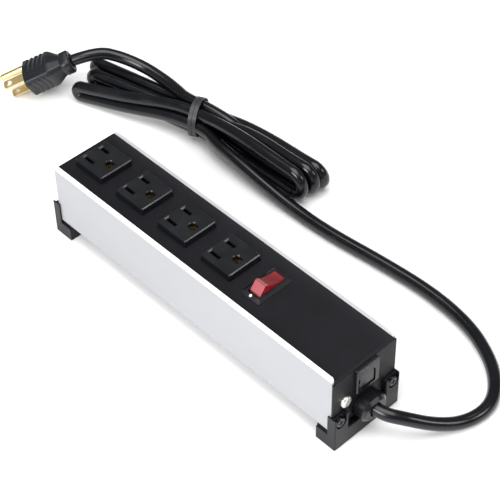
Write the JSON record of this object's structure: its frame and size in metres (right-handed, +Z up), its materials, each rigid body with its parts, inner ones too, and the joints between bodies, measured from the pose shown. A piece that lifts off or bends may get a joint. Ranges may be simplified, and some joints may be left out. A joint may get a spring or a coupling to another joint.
{
  "type": "power strip",
  "caption": "Metal-bodied power strip with grounded outlets, lighted rocker switch, resettable breaker, foot brackets and a tied mains cord with moulded plug.",
  "frame": {"origin": "bottom centre of the strip on the plane of its feet, without the cord", "axes": "+X along the strip towards the end where the cord leaves, +Y across it towards the side where the cord lies, +Z up out of the outlets"},
  "size_m": [0.4468, 0.1555, 0.062],
  "materials": {
    "channel_aluminium": "satin anodised",
    "black_textured_sheet": "fine textured black powder coat",
    "outlet_black_plastic": "fine satin moulded",
    "inner_plastic": "matte",
    "contact_brass": "bright stamped",
    "switch_black_plastic": "semi-gloss",
    "rocker_red_clear": "translucent red, polished",
    "lamp_glass": "clear",
    "steel_bright": "bright",
    "breaker_black_plastic": "semi-gloss",
    "relief_black_plastic": "semi-gloss",
    "cord_jacket": "satin flexible jacket",
    "wire_black": "satin",
    "wire_white": "satin",
    "wire_green": "satin",
    "bracket_black": "satin",
    "screw_black": "black oxide",
    "screw_nickel": "nickel plated",
    "tie_grey": "satin flat",
    "plug_black_plastic": "satin moulded"
  },
  "bodies": {
    "strip": {"bracket_screws": "screw_black", "breaker_housing": "breaker_black_plastic", "breaker_spring": "steel_bright", "breaker_terminals": "contact_brass", "breaker_wire": "wire_black", "channel_body": "channel_aluminium", "contact_tray": "inner_plastic", "cord_hank": "cord_jacket", "cord_inner_end": "cord_jacket", "cord_lead": "cord_jacket", "cord_tail": "cord_jacket", "cord_tie": "tie_grey", "foot_bracket_far": "bracket_black", "foot_bracket_near": "bracket_black", "ground_bus_bar": "contact_brass", "ground_nut": "screw_nickel", "ground_screw": "screw_nickel", "ground_wire": "wire_green", "hot_bus_bar": "contact_brass", "line_wire": "wire_black", "neon_lamp": "lamp_glass", "neutral_bus_bar": "contact_brass", "neutral_wire": "wire_white", "outlet_base_1": "inner_plastic", "outlet_base_2": "inner_plastic", "outlet_base_3": "inner_plastic", "outlet_base_4": "inner_plastic", "outlet_face_1": "outlet_black_plastic", "outlet_face_2": "outlet_black_plastic", "outlet_face_3": "outlet_black_plastic", "outlet_face_4": "outlet_black_plastic", "plug_blades": "contact_brass", "plug_body": "plug_black_plastic", "plug_ground_pin": "contact_brass", "strain_relief": "relief_black_plastic", "switch_housing": "switch_black_plastic", "switch_terminals": "contact_brass", "switched_wire": "wire_black", "top_cover": "black_textured_sheet"},
    "rocker": {"switch_rocker": "rocker_red_clear", "rocker_pin": "steel_bright"},
    "reset": {"reset_button": "breaker_black_plastic"}
  },
  "joints": [
    {"name": "rocker_tilt", "type": "hinge", "parent": "strip", "child": "rocker", "pos_m": [0.0444, 0, 0.0497], "axis": [1, 0, 0], "range_deg": [0, 34]},
    {"name": "breaker_reset", "type": "slide", "parent": "strip", "child": "reset", "axis": [1, 0, 0], "range_m": [0, 0.0025]}
  ]
}
